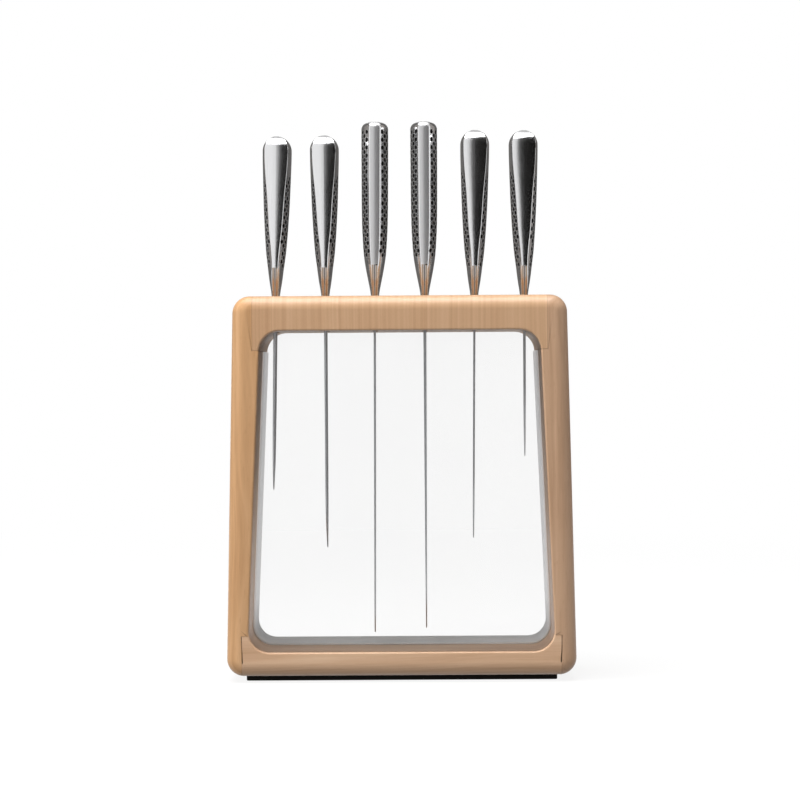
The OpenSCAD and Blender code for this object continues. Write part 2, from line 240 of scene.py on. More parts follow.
def side_board(name, side):
    """A side board: its sections fan round the inside corner of each ear, where the inside
    line waits while the outside line goes round the frame's corner."""
    ear_x = chamber_upper[0] + math.sqrt(CHAMBER_R ** 2 - (EAR_TOP_Z - chamber_upper[1]) ** 2)
    low_x = chamber_lower[0] + math.sqrt(CHAMBER_R ** 2 - (EAR_FOOT_Z - chamber_lower[1]) ** 2)
    last = -math.degrees(math.acos((JOINT_FOOT_X - outer_lower[0]) / CORNER_R))
    turn_top = arc(outer_upper, CORNER_R, 90, outer_degrees, 12)
    turn_foot = arc(outer_lower, CORNER_R, outer_degrees, last, 12)
    side_z = np.concatenate([np.linspace(EAR_TOP_Z, EAR_TOP_Z - 5, 4),
                             np.linspace(EAR_TOP_Z - 6, EAR_FOOT_Z + 8, 40),
                             np.linspace(EAR_FOOT_Z + 7, EAR_FOOT_Z, 8)])
    side_line = np.stack([outer_half(side_z), side_z], -1)
    outer = np.concatenate([[[JOINT_TOP_X, TOP_Z], [JOINT_TOP_X + SEAM, TOP_Z]],
                            turn_top, side_line, turn_foot])
    down = np.array([0.0, -1.0])
    leaning = np.tile([-math.cos(outer_lean), -math.sin(outer_lean)], (len(side_line), 1))
    inward = np.concatenate([[down, down], unit(outer_upper - turn_top), leaning,
                             unit(outer_lower - turn_foot)])
    inward[-1] = -down
    corner_top = np.array([JOINT_TOP_X, EAR_TOP_Z])
    corner_foot = np.array([JOINT_FOOT_X, EAR_FOOT_Z])
    wall_top = chamber_upper + CHAMBER_R * np.array([math.cos(wall_lean), math.sin(wall_lean)])
    wall_foot = chamber_lower + CHAMBER_R * np.array([math.cos(wall_lean), math.sin(wall_lean)])
    waits = 2 + len(turn_top)
    ledge = line(corner_top, [ear_x + OPENING_R + EAR_PAST, EAR_TOP_Z], 4)
    wall = line(wall_top, wall_foot, 40)
    sill_degrees = math.degrees(math.asin((EAR_FOOT_Z - chamber_lower[1]) / CHAMBER_R))
    corner = arc(chamber_lower, CHAMBER_R, wall_degrees, sill_degrees, 5)[1:]
    sill = line([low_x + OPENING_R + EAR_PAST, EAR_FOOT_Z], corner_foot, 4)
    inner = np.concatenate([np.tile(corner_top, (waits, 1)), ledge, wall, corner, sill,
                            np.tile(corner_foot, (len(turn_foot), 1))])
    fan = np.radians(np.linspace(0, -80, waits))
    fan_foot = np.radians(np.linspace(80, 0, len(turn_foot)))
    into = np.concatenate([
        np.stack([np.cos(fan), np.sin(fan)], -1), np.tile(down, (len(ledge), 1)),
        np.tile([math.cos(wall_lean), math.sin(wall_lean)], (len(wall), 1)),
        unit(corner - chamber_lower), np.tile(-down, (len(sill), 1)),
        np.stack([np.cos(fan_foot), np.sin(fan_foot)], -1)])
    into[0] = -down
    into[-1] = down
    chamber = np.zeros(len(inner), bool)
    begins = waits + len(ledge)
    chamber[begins:begins + len(wall) + len(corner)] = True
    seam = np.where(chamber, 0.0, 1.0)
    seam[[0, -1]] = 2
    edge = np.where(chamber, OPENING_R, JOINT_R)
    groove = np.where(chamber, GROOVE, SEAM / 4)
    turn = [side, 1]
    return board(name, outer * turn, inward * turn, inner * turn, into * turn, edge, groove, seam)


top_board = level_board("maple_top_board", CEILING_Z, TOP_Z, EAR_TOP_Z, JOINT_TOP_X,
                        chamber_upper, 1)
bottom_board = level_board("maple_bottom_board", FLOOR_Z, FOOT_Z, EAR_FOOT_Z, JOINT_FOOT_X,
                           chamber_lower, -1)
left_board = side_board("maple_left_board", -1)
right_board = side_board("maple_right_board", 1)

KNIVES = range(1, 7)
SLOT_W = 3.4
SLOT_PLAY = 1
SLOT_FLARE = 0.6
LEANS = [1, 0, 0.3, 0, 0.5, 0]
BLADE_T = [2, 1.5, 1.7, 2.2, 1.4, 1.6]


def knife_place(k):
    """Where knife k stands: the middle of its blade, its spine, and the lean in radians."""
    low, high = corners(f"knife_{k}_blade")
    lean = math.radians(LEANS[k - 1])
    return high[0] - BLADE_T[k - 1] / 2 * math.cos(lean), low[1], lean


def slot_cutter(k):
    """The room a milled slot takes: a long round-ended ring, flared 45 degrees at the top."""
    x, spine, lean = knife_place(k)
    low, high = corners(f"knife_{k}_blade")
    grow = np.array([0, 0, 2 * SLOT_FLARE])[:, None]
    z = np.array([CEILING_Z - CHAMBER_R, TOP_Z - SLOT_FLARE, TOP_Z + SLOT_FLARE])[:, None]
    a = np.radians(np.linspace(0, 180, 13))[None, :]
    r = SLOT_W / 2 + grow
    front = spine - SLOT_PLAY + SLOT_W / 2
    back = high[1] + SLOT_PLAY - SLOT_W / 2
    xs = np.concatenate([r * np.cos(a), -r * np.cos(a)], 1) + x
    ys = np.concatenate([back + r * np.sin(a), front - r * np.sin(a)], 1)
    return carried("cutter", np.stack([xs, ys, z + 0 * xs], -1))


for k in KNIVES:
    cutter = slot_cutter(k)
    cut = top_board.modifiers.new("slot", "BOOLEAN")
    cut.operation = "DIFFERENCE"
    cut.solver = "EXACT"
    cut.object = cutter
    bpy.context.view_layer.update()
    slotted = bpy.data.meshes.new_from_object(
        top_board.evaluated_get(bpy.context.evaluated_depsgraph_get()))
    top_board.modifiers.clear()
    top_board.data = slotted
    bpy.data.objects.remove(cutter)
top_board.data.polygons.foreach_set("use_smooth", np.ones(len(top_board.data.polygons), bool))
top_board.data.set_sharp_from_angle(angle=math.radians(SHARP))


class Wire:
    """A value in a material. Its operators add Math nodes, so that shader maths reads as a
    formula."""

    def __init__(self, finish, socket):
        self.finish = finish
        self.socket = socket

    def maths(self, operation, first, second):
        return self.finish.node("ShaderNodeMath", {"operation": operation},
                                {0: first, 1: second})

    def __add__(self, other):
        return self.maths("ADD", self, other)

    def __radd__(self, other):
        return self.maths("ADD", other, self)

    def __sub__(self, other):
        return self.maths("SUBTRACT", self, other)

    def __rsub__(self, other):
        return self.maths("SUBTRACT", other, self)

    def __mul__(self, other):
        return self.maths("MULTIPLY", self, other)

    def __rmul__(self, other):
        return self.maths("MULTIPLY", other, self)

    def __truediv__(self, other):
        return self.maths("DIVIDE", self, other)

    def __pow__(self, other):
        return self.maths("POWER", self, other)

    def __abs__(self):
        return self.maths("ABSOLUTE", self, 0.0)


class Finish:
    """A material under construction, with one Principled surface."""

    def __init__(self, name, **constants):
        self.material = bpy.data.materials.new(name)
        self.material.use_nodes = True
        self.tree = self.material.node_tree
        self.surface = self.tree.nodes["Principled BSDF"]
        self.feed(self.surface, constants)

    def feed(self, node, sockets):
        for key, value in sockets.items():
            socket = node.inputs[key.replace("_", " ") if isinstance(key, str) else key]
            if isinstance(value, Wire):
                self.tree.links.new(value.socket, socket)
            else:
                socket.default_value = value

    def node(self, kind, settings, sockets, output=0):
        made = self.tree.nodes.new(kind)
        for key, value in settings.items():
            if key == "stops":
                ramp = made.color_ramp.elements
                while len(ramp) < len(value):
                    ramp.new(1.0)
                for stop, (position, colour) in zip(ramp, value):
                    stop.position = position
                    stop.color = colour
            else:
                setattr(made, key, value)
        self.feed(made, sockets)
        return Wire(self, made.outputs[output])

    def place(self):
        """Object coordinates as three values."""
        where = self.node("ShaderNodeTexCoord", {}, {}, "Object")
        return [self.node("ShaderNodeSeparateXYZ", {}, {0: where}, axis) for axis in range(3)]

    def vector(self, x, y, z):
        return self.node("ShaderNodeCombineXYZ", {}, {0: x, 1: y, 2: z})

    def noise(self, vector, scale, detail=3.0, roughness=0.5):
        return self.node("ShaderNodeTexNoise", {}, {"Vector": vector, "Scale": scale,
                         "Detail": detail, "Roughness": roughness}, "Fac")

    def between(self, value, low, high, out_low=0.0, out_high=1.0):
        return self.node("ShaderNodeMapRange", {}, {0: value, 1: low, 2: high,
                         3: out_low, 4: out_high})

    def mix(self, share, first, second):
        return self.node("ShaderNodeMix", {"data_type": "RGBA"},
                         {0: share, 6: first, 7: second}, 2)

    def ramp(self, value, *stops):
        return self.node("ShaderNodeValToRGB", {"stops": stops}, {0: value})

    def bump(self, height, strength, distance):
        return self.node("ShaderNodeBump", {}, {"Strength": strength, "Distance": distance,
                         "Height": height})

    def put_on(self, piece):
        piece.data.materials.clear()
        piece.data.materials.append(self.material)

    def surface_from(self, **sockets):
        self.feed(self.surface, sockets)


def tone(red, green, blue):
    """Linear colour of an 8-bit display colour: ((c + 0.055) / 1.055) ^ 2.4 over the toe."""
    c = np.array([red, green, blue]) / 255
    linear = np.where(c <= 0.04045, c / 12.92, ((c + 0.055) / 1.055) ** 2.4)
    return (*linear.tolist(), 1.0)


STAVE_SHIFT = 0.037
STAVE_GAP = 0.0005
GLUE = tone(118, 82, 54)


def maple(name, grain, pith, light, mid, dark, rings, sway=0.016, staves=()):
    """Oiled maple. A ring's number grows with the distance from the pith line, which runs
    along the grain axis; noise stretched along the grain bends it and shades the bands.
    Staves are the places along X where the next piece of wood is glued on."""
    wood = Finish(name, Coat_Weight=0.12, Coat_Roughness=0.3)
    place = wood.place()
    along = place[grain]
    across = [place[axis] for axis in range(3) if axis != grain]
    offset = [value - centre for value, centre in zip(across, pith)]
    stave = None
    for edge in staves:
        step = wood.between(place[0], edge - 0.0001, edge + 0.0001)
        stave = step if stave is None else stave + step
    if stave is not None:
        offset[0] = offset[0] + stave * STAVE_SHIFT
    bend = wood.noise(wood.vector(across[0] * 9.0, across[1] * 9.0, along * 4.0), 1.0, 2.0)
    distance = (offset[0] * offset[0] + offset[1] * offset[1]) ** 0.5 + bend * sway
    band = wood.noise(wood.vector(distance * rings, along * 5.0, 0.0), 1.0, 3.0, 0.6)
    cloud = wood.noise(wood.vector(across[0] * 26.0, across[1] * 26.0, along * 7.0), 1.0, 3.0)
    fibre = wood.noise(wood.vector(across[0] * 1500.0, across[1] * 1500.0, along * 45.0), 1.0,
                       2.0, 0.6)
    fleck = wood.noise(wood.vector(across[0] * 700.0, across[1] * 2600.0, along * 160.0), 1.0,
                       1.0, 0.5)
    shade = band * 0.62 + cloud * 0.22 + fibre * 0.16
    colour = wood.ramp(shade, (0.3, dark), (0.5, mid), (0.7, light))
    colour = wood.mix(wood.between(fleck, 0.62, 0.74, 0.0, 0.28), colour, dark)
    if stave is not None:
        colour = wood.mix(wood.between(stave, 0.0, float(len(staves)), 0.0, 0.3), colour, light)
        for edge in staves:
            gap = wood.between(abs(place[0] - edge), 0.0, STAVE_GAP, 0.4, 0.0)
            colour = wood.mix(gap, colour, dark)
    seam = wood.node("ShaderNodeAttribute", {"attribute_name": "seam"}, {}, "Fac")
    colour = wood.mix(wood.between(seam, 0.0, 1.0, 0.0, 0.45), colour, GLUE)
    wood.surface_from(Base_Color=colour, Roughness=0.36 + fibre * 0.16 - band * 0.06,
                      Normal=wood.bump(fibre * 0.7 + band * 0.3, 0.16, 0.0003))
    return wood


WOOD = {
    top_board: maple("maple_end_grain", 1, (0.45, 0.24), tone(217, 179, 143),
                     tone(201, 160, 122), tone(179, 135, 97), 420.0, 0.004, (-0.0846, 0.018)),
    bottom_board: maple("maple_long_grain", 0, (0.03, -0.028), tone(230, 196, 163),
                        tone(214, 175, 141), tone(189, 147, 112), 260.0),
    left_board: maple("maple_left_grain", 2, (-0.18, 0.3), tone(224, 180, 136),
                      tone(206, 160, 114), tone(180, 133, 88), 300.0),
    right_board: maple("maple_right_grain", 2, (0.24, -0.26), tone(216, 180, 148),
                       tone(198, 160, 128), tone(172, 133, 101), 300.0),
}
for piece, node in [(top_board, "top_board"), (bottom_board, "bottom_board"),
                    (left_board, "left_side_board"), (right_board, "right_side_board")]:
    WOOD[piece].put_on(piece)
    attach(piece, "block")
    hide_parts(node)

# ------------------------------------------------------------------------------------- dowels
# Eight fluted beech dowels across the corner joints. They are glued in blind bores, so only
# their plain faces and the flutes' light and dark show when the frame comes apart.
dowel_finish = Finish("beech_dowel")
x, y, z = dowel_finish.place()
flute = dowel_finish.noise(dowel_finish.vector(x * 60.0, y * 1400.0, z * 1400.0), 1.0, 2.0)
dowel_finish.surface_from(
    Base_Color=dowel_finish.ramp(flute, (0.3, tone(196, 160, 116)), (0.7, tone(228, 200, 160))),
    Roughness=0.55 + flute * 0.2, Normal=dowel_finish.bump(flute, 0.3, 0.0004))
dowel_finish.put_on(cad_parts["joint_dowels"])

# ------------------------------------------------------------------------------------ windows
# Two panes of clear acrylic, 3 mm thick, held in the grooves. They reflect more at a grazing
# view, and carry the faintest haze and fine wipe marks.
ACRYLIC_IOR = 1.49
pane = Finish("clear_pane", Base_Color=tone(250, 252, 252), IOR=ACRYLIC_IOR)
x, y, z = pane.place()
haze = pane.noise(pane.vector(x, y, z), 22.0, 3.0)
wipe = pane.noise(pane.vector(x * 500.0 + z * 260.0, y, z * 40.0), 1.0, 2.0)
mirror = pane.node("ShaderNodeFresnel", {}, {"IOR": ACRYLIC_IOR})
pane.surface_from(Alpha=haze * 0.016 + mirror * 0.7, Roughness=0.03 + wipe * 0.05)
for name in ("front_window", "rear_window"):
    pane.put_on(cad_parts[name])

# -------------------------------------------------------------------------------------- liner
# A bent sheet of satin grey plastic against the floor and the walls of the rear half of the
# chamber. It guards the wood, and ends just under the corners of the top board.
LINER_T = 1.2
LINER_SOFT = 0.3
LINER_PLAY = 0.1
liner_low, liner_high = corners("chamber_liner")
liner_r = CHAMBER_R - LINER_PLAY
liner_end = chamber_upper + liner_r * np.array([math.cos(wall_lean), math.sin(wall_lean)])
bend = arc(chamber_lower, liner_r, wall_degrees, -90, 12)
liner_half = np.concatenate([line(liner_end, bend[0], 14)[:-1], bend])
liner_way = np.concatenate([np.tile(unit(bend[:1] - chamber_lower),
                                    (len(liner_half) - len(bend), 1)),
                            unit(bend - chamber_lower)])
liner_flat = line(bend[-1], bend[-1] * [-1, 1], 10)[1:-1]
liner_line = np.concatenate([liner_half, liner_flat, liner_half[::-1] * [-1, 1]])
liner_out = np.concatenate([liner_way, np.tile([0.0, -1.0], (len(liner_flat), 1)),
                            liner_way[::-1] * [-1, 1]])


def sheet_rings(path, out, thickness, y0, y1, soft):
    """A sheet along a path in X and Z, from depth y0 to y1: its two long edges are softened
    by a quarter of a circle at each corner, soft in radius."""
    a = np.radians(np.array([0, 30, 60, 90]))
    depth = soft * (1 - np.cos(a))
    step = soft * (1 - np.sin(a))
    inset = np.concatenate([depth, thickness - depth[::-1]])
    y = np.concatenate([y0 + step, y0 + step[::-1]])
    inset = np.concatenate([inset, inset[::-1]])
    y = np.concatenate([y, (y0 + y1 - y)[::-1]])
    flat = path[:, None, :] - out[:, None, :] * inset[None, :, None]
    return np.stack([flat[..., 0], y + 0 * flat[..., 0], flat[..., 1]], -1)


liner = carried("bent_liner", sheet_rings(liner_line, liner_out, LINER_T, liner_low[1],
                                          liner_high[1], LINER_SOFT))
sheet = Finish("satin_liner")
x, y, z = sheet.place()
mottle = sheet.noise(sheet.vector(x, y, z), 55.0, 4.0, 0.6)
speck = sheet.noise(sheet.vector(x, y, z), 900.0, 1.0)
grey = sheet.ramp(mottle, (0.3, tone(214, 214, 214)), (0.7, tone(228, 228, 228)))
grey = sheet.mix(sheet.between(speck, 0.68, 0.76, 0.0, 0.3), grey, tone(150, 150, 150))
# Painted light: the walls glow a light grey by emission, more from the bend upwards
glow = sheet.mix(sheet.between(z, 0.028, 0.05), tone(0, 0, 0), tone(138, 138, 139))
sheet.surface_from(Base_Color=grey, Roughness=0.5 + mottle * 0.15, Emission_Color=glow,
                   Emission_Strength=1.0, Normal=sheet.bump(speck, 0.1, 0.0002))
sheet.put_on(liner)
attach(liner, "block")
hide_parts("chamber_liner")

# --------------------------------------------------------------------------------------- base
# A black rubber pad glued under the bottom board, square at its ends, a little soft at its
# edges and with a fine grain that keeps it from slipping.
base_low, base_high = corners("non_slip_base")
BASE_SOFT = 0.7
BASE_CORNER = 1.5
a = np.radians(np.linspace(0, 90, 5))
base_rise = BASE_SOFT * (1 - np.cos(a))
base_in = BASE_SOFT * (1 - np.sin(a))
base_z = np.concatenate([base_rise, base_high[2] - base_rise[::-1]])
base_in = np.concatenate([base_in, base_in[::-1]])
ring_a = np.radians(np.arange(0, 360, 15) + 7.5)
base_rings = np.stack([
    np.stack([np.sign(np.cos(ring_a)) * (base_high[0] - BASE_CORNER)
              + (BASE_CORNER - inset) * np.cos(ring_a),
              np.sign(np.sin(ring_a)) * (base_high[1] - BASE_CORNER)
              + (BASE_CORNER - inset) * np.sin(ring_a),
              np.full(len(ring_a), height)], -1)
    for inset, height in zip(base_in, base_z)])
base = carried("rubber_base", base_rings)
rubber = Finish("black_rubber", Specular_IOR_Level=0.15)
x, y, z = rubber.place()
grain = rubber.noise(rubber.vector(x, y, z), 1400.0, 2.0)
scuff = rubber.noise(rubber.vector(x, y, z), 60.0, 3.0)
rubber.surface_from(
    Base_Color=rubber.ramp(scuff, (0.35, tone(11, 9, 7)), (0.75, tone(22, 19, 16))),
    Roughness=0.65 + grain * 0.2, Normal=rubber.bump(grain, 0.5, 0.0003))
rubber.put_on(base)
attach(base, "block")
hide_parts("non_slip_base")

# ------------------------------------------------------------------------------------- blades
# Six stainless blades, ground thinner from spine to edge and from heel to point, with a fine
# edge bevel. The third has hollows along its edge, so that slices don't stick.
REST_GAP = 0.3
BLADE_L = [130, 170, 226, 224, 163, 108]
BLADE_W = [32, 42, 30, 48, 27, 22]
# How far the point drops (share of the width), where the spine and the edge start to curve
# (shares of the length), how full the edge's curve is, and the depth of its hollows
BLADE_SHAPE = [(0.35, 0.72, 0.45, 2.4, 0), (0.62, 0.78, 0.55, 3.0, 0),
               (0.22, 0.93, 0.88, 2.6, 1.2), (0.28, 0.80, 0.40, 2.2, 0),
               (0.40, 0.74, 0.55, 2.2, 0), (0.40, 0.60, 0.50, 2.0, 0)]
NECK_D = 19
HEEL_DROP = 9
HEEL_SLOPE = 3
EDGE_T = 0.4
POINT_T = 0.8
BEVEL_W = 1.2
KEEN_T = 0.08
SPINE_SOFT = 0.12
HOLLOW_PITCH = 9
# Length of blade between rings, and of the finely cut point
STEP = 1.5
POINT = 6


def stand(points, k):
    """Points in a knife's own frame, leaned about the Y axis and set in slot k."""
    x, spine, lean = knife_place(k)
    c, s = math.cos(lean), math.sin(lean)
    return np.stack([x + points[..., 0] * c + points[..., 2] * s, spine + points[..., 1],
                     TOP_Z + REST_GAP - points[..., 0] * s + points[..., 2] * c], -1)


def blade_rings(k):
    """Level rings down a blade. With t from 0 to 1 along a curved part, the spine drops as
    t^2 and the edge rises as t^fullness. The thickness is the lesser of the wedge from spine
    to edge and the wedge from heel to point, and falls to a keen edge over the bevel."""
    length, width, thick = BLADE_L[k - 1], BLADE_W[k - 1], BLADE_T[k - 1]
    drop, spine_s, edge_s, full, hollow = BLADE_SHAPE[k - 1]
    down = np.concatenate([[0, HEEL_DROP, HEEL_DROP + 0.1],
                           np.linspace(HEEL_DROP + 1, HEEL_DROP + HEEL_SLOPE, 3),
                           np.arange(HEEL_DROP + HEEL_SLOPE + STEP, length - POINT, STEP),
                           length - POINT * np.linspace(1, 0.015, 24) ** 1.6])
    spine_t = np.clip((down / length - spine_s) / (1 - spine_s), 0, 1)
    edge_t = np.clip((down / length - edge_s) / (1 - edge_s), 0, 1)
    spine = drop * width * spine_t ** 2
    edge = drop * width + (1 - drop) * width * (1 - edge_t ** full)
    heel = np.clip((down - HEEL_DROP) / HEEL_SLOPE, 0, 1)
    edge = np.where(down < HEEL_DROP + HEEL_SLOPE, NECK_D + (width - NECK_D) * heel, edge)
    row = np.pi * (edge_s * length - down) / HOLLOW_PITCH
    near = (down > HEEL_DROP + HOLLOW_PITCH) & (down < edge_s * length)
    edge = edge - np.where(near, hollow * np.sin(row) ** 2, 0)
    share = np.array([0, 0.004, 0.03, 0.2, 0.4, 0.6, 0.8, 0.92, 1.0])
    reach = np.maximum(edge - spine, 0.05)[:, None]
    y = spine[:, None] + reach * share
    bevel = np.clip((edge[:, None] - y) / BEVEL_W, 0, 1)
    wedge = thick + (EDGE_T - thick) * y / max(width, NECK_D)
    taper = thick + (POINT_T - thick) * down[:, None] / length
    half = np.minimum(wedge, taper) / 2
    keen = np.where(down[:, None] > HEEL_DROP, KEEN_T / 2 + (half - KEEN_T / 2) * bevel, half)
    half = np.where(share == 0, half - SPINE_SOFT, keen)
    z = -down[:, None] + 0 * y
    right = np.stack([half, y, z], -1)
    left = np.stack([-half, y, z], -1)[:, ::-1]
    return np.concatenate([right, left], 1)


BLADE_SHARP = 25
blade_steel = Finish("satin_blade_steel", Metallic=1.0)
x, y, z = blade_steel.place()
draw = blade_steel.noise(blade_steel.vector(x * 300.0, y * 260.0, z * 9000.0), 1.0, 2.0)
patch = blade_steel.noise(blade_steel.vector(x, y, z), 30.0, 3.0)
blade_steel.surface_from(
    Base_Color=blade_steel.ramp(draw, (0.3, tone(168, 170, 173)), (0.7, tone(196, 198, 200))),
    Roughness=0.24 + draw * 0.12 + patch * 0.06, Normal=blade_steel.bump(draw, 0.08, 0.0001))
for k in KNIVES:
    blade = carried(f"blade_{k}", stand(blade_rings(k), k), BLADE_SHARP)
    blade_steel.put_on(blade)
    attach(blade, f"knife_{k}")
    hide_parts(f"knife_{k}_blade")

# ------------------------------------------------------------------------------------ handles
# Each handle is two pressed half shells of stainless steel, welded along the spine and the
# belly and brushed smooth there. Rows of round dimples, filled with black paint, give grip
# on both sides. Two handles are straight with a blunt butt, four widen like a tear.
HANDLE_L = [107.6, 108, 116.4, 116.4, 111, 110.6]
STRAIGHT = (3, 4)
TEAR_T = 19.4
STRAIGHT_T = 18
NECK_T = 4.8
GRIP_D = 23
GRIP_FLARE = 5.5
SHELL_T = 1.2
STRAIGHT_BUTT_R = 4.5
# How high a strip is crowned, as a share of its half width
TEAR_CROWN = 0.07
STRAIGHT_CROWN = 0.13
# How square the sides are outside and inside the wall: 0.5 is an oval, 1 a sine
SIDE_POWER = 0.68
LINING_POWER = 0.9
# Stations, as shares of the length and of the full size: thickness, depth and smooth strip
tear_t = [(0, 0), (0.1, 0.27), (0.18, 0.40), (0.26, 0.57), (0.4, 0.73), (0.56, 0.86),
          (0.7, 0.93), (0.86, 1), (1, 1)]
straight_t = [(0, 0), (0.09, 0.32), (0.17, 0.60), (0.24, 0.78), (0.38, 0.93), (0.52, 0.98),
              (0.8, 1), (1, 1)]
grip_shape = [(0, 0), (0.12, 0.2), (0.3, 0.62), (0.5, 0.95), (0.65, 1), (0.85, 0.8), (1, 0.55)]
flare_shape = [(0, 0), (0.06, 0.25), (0.165, 0.96), (0.18, 1), (1, 1)]
tear_strip = [(0, 0.62), (0.2, 0.28), (0.3, 0.36), (0.4, 0.5), (0.6, 0.6), (0.75, 0.74),
              (0.86, 0.8), (1, 0.8)]
straight_strip = [(0, 0.62), (0.15, 0.3), (0.3, 0.34), (1, 0.34)]
FLARE_REACH = 0.012
HOLLOW_FROM, HOLLOW_TO = 0.15, 0.98
CELL = 0.44
CREASE_SHARP = 50
# Up to this share of the handle the front strip carries painted light: a dark line of painted
# shade along the seam, and a straw-tinted painted reflection of the wood at the neck
NECK_PAINTED_TO = 0.178
SEAM_PAINTED_SHADE = 0.8
NECK_PAINTED_REFLECTION = -0.9
# The narrow strips of the straight handles carry painted shade that darkens them, and are a
# little rougher
STRAIGHT_STRIP = 0.27
# The end of each butt carries painted shade, from this share of its rounding, which also dims its
# reflection of the overhead lamp
BUTT_SHOWS = 0.8
BUTT_PAINTED_SHADE = 0.6
# The field of dimples: from this height, up to this far below a straight butt or to this
# share of a tear-shaped handle
STRAIGHT_FROM, STRAIGHT_BELOW = 25, 6.9
TEAR_FROM, TEAR_TO = 20, 0.735
DIMPLE_R = 1.4
DIMPLE_RIM = 0.15
DIMPLE_DEPTH = 0.5
DIMPLE_PITCH = 5.3
COLUMN_PITCH = 3.1
CREASE_MARGIN = 2.2


def along(share, stations, reach=0.045):
    """A smooth curve through stations: the mean of the straight-line curve over a short
    stretch round each share."""
    stretch = np.linspace(-reach, reach, 9)
    return np.mean([np.interp(share + d, *np.transpose(stations)) for d in stretch], 0)


def handle_rings(k, side):
    """Level rings of a half shell, and how each point is painted: above 0 towards black, as
    black paint in the dimples and as painted shade on the seam line, the straight strips and
    the butt end, and below 0 in a straw tint, a painted reflection of the wood at the neck.
    A ring runs from the front seam over the crowned strip, round the side,
    x = s + (a - s) sin(pi f)^power and y even in f, over the rear strip, and back inside the
    wall. Side points stand at even steps of arc. A dimple sinks
    d = depth (1 - (distance / radius)^2) along the normal, and the points next to its rim are
    drawn onto it."""
    length = HANDLE_L[k - 1]
    straight = k in STRAIGHT
    thick = STRAIGHT_T if straight else TEAR_T
    butt = STRAIGHT_BUTT_R if straight else TEAR_T / 2
    dome = np.radians(np.linspace(0, 84, 26))[1:]
    z = np.concatenate([np.arange(0, length - butt, CELL), length - butt + butt * np.sin(dome)])
    z[-1] = length - 0.02
    share = z / length
    q = np.clip(1 - (length - z) / butt, 0, 0.999)
    inset = butt * (1 - np.sqrt(1 - q * q))
    half_t = (NECK_T + (thick - NECK_T) * along(share, straight_t if straight else tear_t)) / 2
    half_t = np.maximum(half_t - inset, 0.5)
    strip = np.maximum(half_t * along(share, straight_strip if straight else tear_strip), 0.3)
    y0 = inset - GRIP_FLARE * along(share, flare_shape, FLARE_REACH)
    y1 = np.maximum(NECK_D + (GRIP_D - NECK_D) * along(share, grip_shape) - inset, y0 + 1)

    def strip_row(level, outwards):
        x = strip[:, None] * fs
        rise = crown * strip[:, None] * (1 - fs * fs)
        return np.stack([x, level[:, None] + outwards * rise], -1)

    f = (1 - np.cos(np.linspace(0, np.pi, 160))) / 2
    side_x = strip[:, None] + (half_t - strip)[:, None] * np.sin(np.pi * f) ** SIDE_POWER
    side_y = y0[:, None] + (y1 - y0)[:, None] * f
    steps = np.hypot(np.diff(side_x), np.diff(side_y))
    run = np.concatenate([np.zeros((len(z), 1)), np.cumsum(steps, 1)], 1)
    count = int(round(run[:, -1].max() / CELL))
    want = run[:, -1:] * np.linspace(0, 1, count)
    at = (run[:, None, :] < want[:, :, None]).sum(-1).clip(1, len(f) - 1)
    before = np.take_along_axis(run, at - 1, 1)
    part = (want - before) / np.maximum(np.take_along_axis(run, at, 1) - before, 1e-9)

    def picked(values):
        low = np.take_along_axis(values, at - 1, 1)
        return low + (np.take_along_axis(values, at, 1) - low) * part

    flank = np.stack([picked(side_x), picked(side_y), z[:, None] + 0 * want], -1)
    arc_at = want - run[:, -1:] / 2
    column = np.round(arc_at / COLUMN_PITCH)
    phase = np.where(column % 2 == 0, 0, DIMPLE_PITCH / 2)
    z_top = length - STRAIGHT_BELOW if straight else TEAR_TO * length
    z_bottom = STRAIGHT_FROM if straight else TEAR_FROM
    row = np.round((z_top - phase - z[:, None]) / DIMPLE_PITCH)
    middle_z = z_top - phase - row * DIMPLE_PITCH
    off_w = arc_at - column * COLUMN_PITCH
    off_z = z[:, None] - middle_z
    away = np.hypot(off_w, off_z)
    room = np.interp(middle_z, z, run[:, -1] / 2) - CREASE_MARGIN
    is_dimple = (abs(column * COLUMN_PITCH) < room) & (middle_z <= z_top) & (middle_z > z_bottom)
    snap = is_dimple & (abs(away - DIMPLE_R) < 0.6 * CELL)
    pull = np.where(snap, DIMPLE_R / np.maximum(away, 1e-6) - 1, 0)[..., None]
    away = np.where(snap, DIMPLE_R, away)
    across = np.gradient(flank, axis=1) / np.gradient(want, axis=1)[..., None]
    upward = np.gradient(flank, axis=0) / np.gradient(z)[:, None, None]
    normal = unit(np.cross(across, upward))
    sunk = np.where(is_dimple, np.clip(1 - (away / DIMPLE_R) ** 2, 0, 1), 0)
    flank = flank + (across * off_w[..., None] + upward * off_z[..., None]) * pull
    flank = flank - normal * (DIMPLE_DEPTH * sunk)[..., None]
    paint = np.where(is_dimple, np.clip((DIMPLE_R + DIMPLE_RIM - away) / DIMPLE_RIM, 0, 1), 0)

    fs = np.sin(np.linspace(0, np.pi / 2, 10))[None, :-1]
    crown = STRAIGHT_CROWN if straight else TEAR_CROWN
    front = strip_row(y0, -1)
    back = strip_row(y1, 1)[:, ::-1]
    hollow = ((share > HOLLOW_FROM) & (share < HOLLOW_TO))[:, None]
    g = (1 - np.cos(np.linspace(0, np.pi, 11)))[None, :] / 2
    in_t = np.maximum(half_t - SHELL_T, 0.2)[:, None]
    in_s = np.minimum(in_t, np.maximum(strip - SHELL_T / 2, 0.15)[:, None])
    in_y0 = (y0 + SHELL_T)[:, None]
    in_y1 = np.maximum(y1 - SHELL_T, y0 + SHELL_T + 0.2)[:, None]
    lining = np.stack([hollow * (in_s + (in_t - in_s) * np.sin(np.pi * g) ** LINING_POWER),
                       in_y0 + (in_y1 - in_y0) * g], -1)
    lining = np.concatenate([lining[:, :1] * [0, 1], lining, lining[:, -1:] * [0, 1]], 1)[:, ::-1]

    def raised(flat):
        return np.concatenate([flat, z[:, None, None] + 0 * flat[..., :1]], -1)

